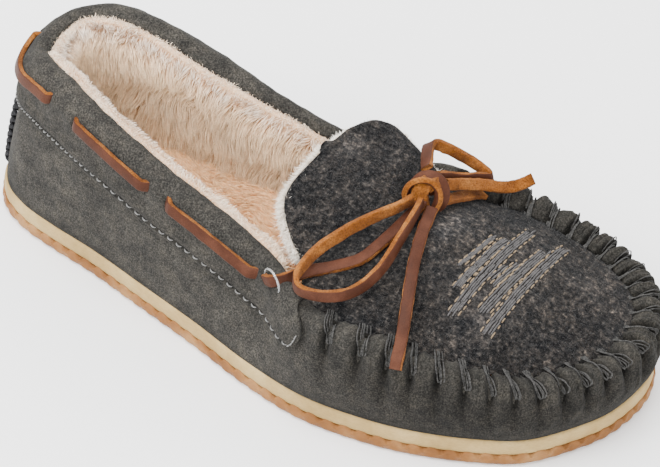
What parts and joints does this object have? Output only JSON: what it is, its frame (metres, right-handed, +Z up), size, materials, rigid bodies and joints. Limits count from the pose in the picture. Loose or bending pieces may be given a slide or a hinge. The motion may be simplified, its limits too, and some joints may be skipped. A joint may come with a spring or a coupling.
{
  "type": "house slipper",
  "caption": "Right moccasin house slipper: suede wrap, wool plug and tongue, pile lining, rubber cup sole, leather thong tied in a bow.",
  "frame": {"origin": "on the surface the slipper stands on, at the middle of the outsole, within 2 mm of the centre of its footprint", "axes": "+X towards the medial side, +Y towards the heel, +Z up; the toe points to -Y"},
  "size_m": [0.1103, 0.2631, 0.0825],
  "materials": {
    "gum_rubber": "matte gum rubber, wavy foxing edge",
    "sidewall_rubber": "matte cream rubber",
    "fibre_board": "raw fibre board",
    "foam": "open-cell foam",
    "footbed_pile": "trodden pile",
    "suede": "napped grey suede",
    "collar_suede": "napped grey suede, rolled",
    "pile": "cream pile",
    "light_thread": "twisted sewing thread",
    "dark_thread": "twisted sewing thread",
    "wool": "heathered fulled wool",
    "stripe_yarn": "stitched yarn stripes",
    "grey_thread": "waxed multi-strand thread",
    "lace_leather": "smooth brown face, raw tan edges",
    "clear_plastic": "clear moulded filament"
  },
  "bodies": {
    "shoe": {"outsole": "gum_rubber", "midsole": "sidewall_rubber", "insole_board": "fibre_board", "footbed_foam": "foam", "footbed_pile": "footbed_pile", "upper_wall": "suede", "heel_counter": "fibre_board", "quarter_lining": "pile", "vamp_lining": "pile", "collar": "collar_suede", "collar_foam": "foam", "collar_stitching": "light_thread", "heel_seam_thread": "dark_thread", "plug": "wool", "plug_lining": "pile", "plug_stripes": "stripe_yarn", "moc_seam_thread": "grey_thread", "lace_collar_run": "lace_leather", "lace_front_near": "lace_leather", "lace_front_far": "lace_leather", "lace_knot": "lace_leather", "filament_ring": "clear_plastic"},
    "tongue": {"tongue": "wool", "tongue_lining": "pile"},
    "near_loop": {"bow_loop_near": "lace_leather"},
    "far_loop": {"bow_loop_far": "lace_leather"},
    "near_tail": {"lace_tail_near": "lace_leather"},
    "far_tail": {"lace_tail_far": "lace_leather"}
  },
  "joints": [
    {"name": "tongue_lift", "type": "hinge", "parent": "shoe", "child": "tongue", "pos_m": [0.004, -0.0262, 0.0625], "axis": [0.9009, -0.434, 0], "range_deg": [0, 22]},
    {"name": "near_loop_lift", "type": "hinge", "parent": "shoe", "child": "near_loop", "pos_m": [0.0078, -0.0375, 0.0702], "axis": [0.3499, 0.9368, 0], "range_deg": [0, 60]},
    {"name": "far_loop_lift", "type": "hinge", "parent": "shoe", "child": "far_loop", "pos_m": [0.0232, -0.0365, 0.0705], "axis": [-0.29, -0.957, 0], "range_deg": [0, 50]},
    {"name": "near_tail_lift", "type": "hinge", "parent": "shoe", "child": "near_tail", "pos_m": [0.0088, -0.0426, 0.0658], "axis": [-0.23, 0.9732, 0], "range_deg": [0, 70]},
    {"name": "far_tail_lift", "type": "hinge", "parent": "shoe", "child": "far_tail", "pos_m": [0.0214, -0.0426, 0.0676], "axis": [-0.6702, -0.7422, 0], "range_deg": [0, 60]}
  ]
}
